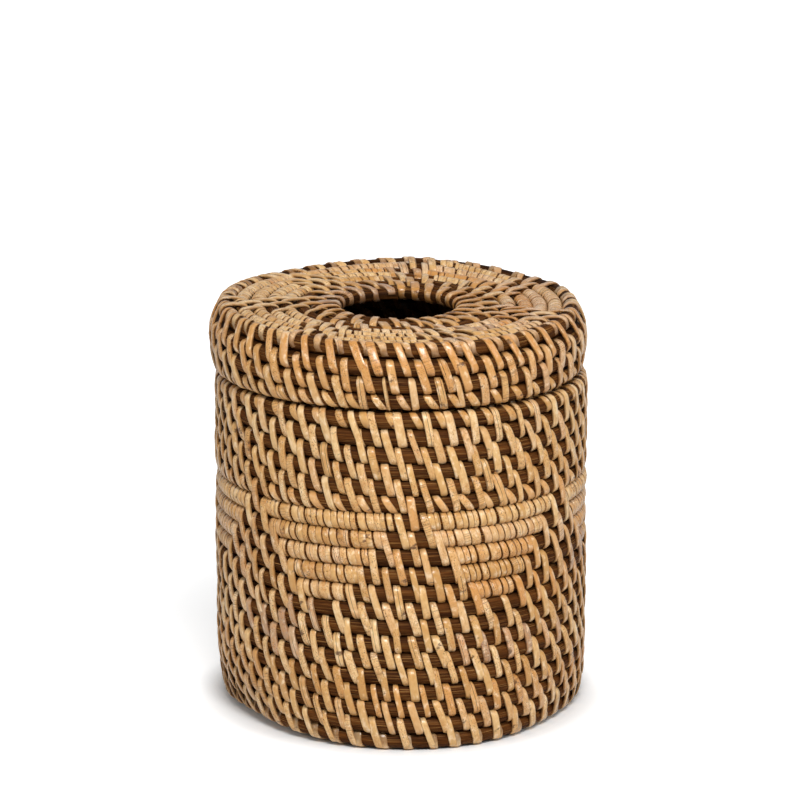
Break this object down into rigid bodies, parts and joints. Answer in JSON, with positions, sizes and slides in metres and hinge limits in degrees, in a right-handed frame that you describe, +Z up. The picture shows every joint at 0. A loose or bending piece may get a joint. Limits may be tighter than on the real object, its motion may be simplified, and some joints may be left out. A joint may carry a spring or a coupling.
{
  "type": "tissue box cover",
  "caption": "Round coiled rattan cover for a tissue roll, with a lift-off lid whose round hole lets the tissue out.",
  "frame": {"origin": "on the basket's axis, in the plane of the flat under the foot turn", "axes": "+Z up along the axis, -Y to the front as pictured, +X to the viewer's right"},
  "size_m": [0.1638, 0.1635, 0.1795],
  "materials": {
    "dark_cane": "unvarnished round rattan cane, dark brown, with fine lengthwise fibres",
    "collar_cane": "thinner dark rattan cane, satin",
    "light_peel": "split rattan peel, pale tan to honey, semi-gloss skin side out"
  },
  "bodies": {
    "basket": {"wall_coil": "dark_cane", "base_coil": "dark_cane", "collar": "collar_cane", "wall_figure_1_row_1": "light_peel", "wall_figure_1_row_2": "light_peel", "wall_figure_1_row_3": "light_peel", "wall_figure_1_row_4": "light_peel", "wall_figure_1_row_5": "light_peel", "wall_figure_2_row_1": "light_peel", "wall_figure_2_row_2": "light_peel", "wall_figure_2_row_3": "light_peel", "wall_figure_2_row_4": "light_peel", "wall_figure_2_row_5": "light_peel", "wall_figure_3_row_1": "light_peel", "wall_figure_3_row_2": "light_peel", "wall_figure_3_row_3": "light_peel", "wall_figure_3_row_4": "light_peel", "wall_figure_3_row_5": "light_peel", "wall_figure_4_row_1": "light_peel", "wall_figure_4_row_2": "light_peel", "wall_figure_4_row_3": "light_peel", "wall_figure_4_row_4": "light_peel", "wall_figure_4_row_5": "light_peel", "wall_figure_5_row_1": "light_peel", "wall_figure_5_row_2": "light_peel", "wall_figure_5_row_3": "light_peel", "wall_figure_5_row_4": "light_peel", "wall_figure_5_row_5": "light_peel", "wall_figure_6_row_1": "light_peel", "wall_figure_6_row_2": "light_peel", "wall_figure_6_row_3": "light_peel", "wall_figure_6_row_4": "light_peel", "wall_figure_6_row_5": "light_peel", "wall_figure_7_row_1": "light_peel", "wall_figure_7_row_2": "light_peel", "wall_figure_7_row_3": "light_peel", "wall_figure_7_row_4": "light_peel", "wall_figure_7_row_5": "light_peel"},
    "lid": {"lid_top_coil": "dark_cane", "lid_skirt_coil": "dark_cane", "lid_figure_1": "light_peel", "lid_figure_2": "light_peel", "lid_figure_3": "light_peel", "lid_figure_4": "light_peel", "lid_figure_5": "light_peel", "lid_figure_6": "light_peel", "lid_figure_7": "light_peel"}
  },
  "joints": [
    {"name": "lid_lift", "type": "slide", "parent": "basket", "child": "lid", "axis": [0, 0, 1], "range_m": [0, 0.06]}
  ]
}
